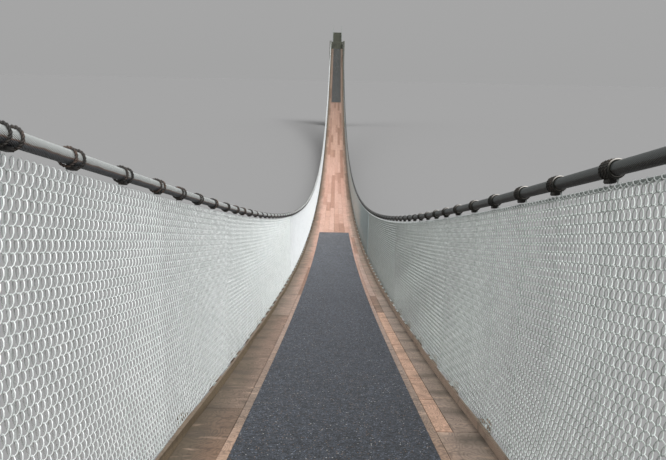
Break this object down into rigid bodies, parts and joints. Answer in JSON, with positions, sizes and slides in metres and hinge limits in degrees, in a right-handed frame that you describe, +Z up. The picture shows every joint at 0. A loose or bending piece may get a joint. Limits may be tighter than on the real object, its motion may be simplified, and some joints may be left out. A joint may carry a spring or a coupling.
{
  "type": "pedestrian suspension bridge, 1:10 scale model",
  "caption": "Long sagging footbridge: plank deck hung under two handrail cables by hangers, woven-wire sides, anti-slip mats, end piers with steps and pipe rails.",
  "frame": {"origin": "on the ground under the middle of the span, on the bridge's centre line", "axes": "+Y along the bridge from the near end to the far end, +X to the walker's right, +Z up"},
  "size_m": [0.28, 14.73, 1.4626],
  "materials": {
    "deck_boards": "weathered cedar",
    "bearer_timber": "weathered treated timber",
    "mesh_wire": "galvanised",
    "wire_rope": "weathered galvanised wire rope",
    "anti_slip_mat": "mineral surfaced",
    "concrete": "board-marked concrete",
    "step_timber": "weathered timber",
    "galvanised_pipe": "galvanised",
    "clamp_steel": "dark weathered steel"
  },
  "bodies": {
    "root": {"deck_01": "deck_boards", "crossbeams_01": "bearer_timber", "mesh_left_01": "mesh_wire", "mesh_right_01": "mesh_wire", "deck_02": "deck_boards", "crossbeams_02": "bearer_timber", "mesh_left_02": "mesh_wire", "mesh_right_02": "mesh_wire", "deck_03": "deck_boards", "crossbeams_03": "bearer_timber", "mesh_left_03": "mesh_wire", "mesh_right_03": "mesh_wire", "deck_04": "deck_boards", "crossbeams_04": "bearer_timber", "mesh_left_04": "mesh_wire", "mesh_right_04": "mesh_wire", "deck_05": "deck_boards", "crossbeams_05": "bearer_timber", "mesh_left_05": "mesh_wire", "mesh_right_05": "mesh_wire", "deck_06": "deck_boards", "crossbeams_06": "bearer_timber", "mesh_left_06": "mesh_wire", "mesh_right_06": "mesh_wire", "deck_07": "deck_boards", "crossbeams_07": "bearer_timber", "mesh_left_07": "mesh_wire", "mesh_right_07": "mesh_wire", "cable_left": "wire_rope", "cable_right": "wire_rope", "mat_near": "anti_slip_mat", "mat_far": "anti_slip_mat", "kerb_left_01": "deck_boards", "kerb_left_02": "deck_boards", "kerb_left_03": "deck_boards", "kerb_left_04": "deck_boards", "kerb_right_01": "deck_boards", "kerb_right_02": "deck_boards", "kerb_right_03": "deck_boards", "kerb_right_04": "deck_boards", "pier_near": "concrete", "steps_near": "step_timber", "rail_near_left": "galvanised_pipe", "rail_near_right": "galvanised_pipe", "pier_far": "concrete", "steps_far": "step_timber", "rail_far_left": "galvanised_pipe", "rail_far_right": "galvanised_pipe"}
  },
  "joints": []
}
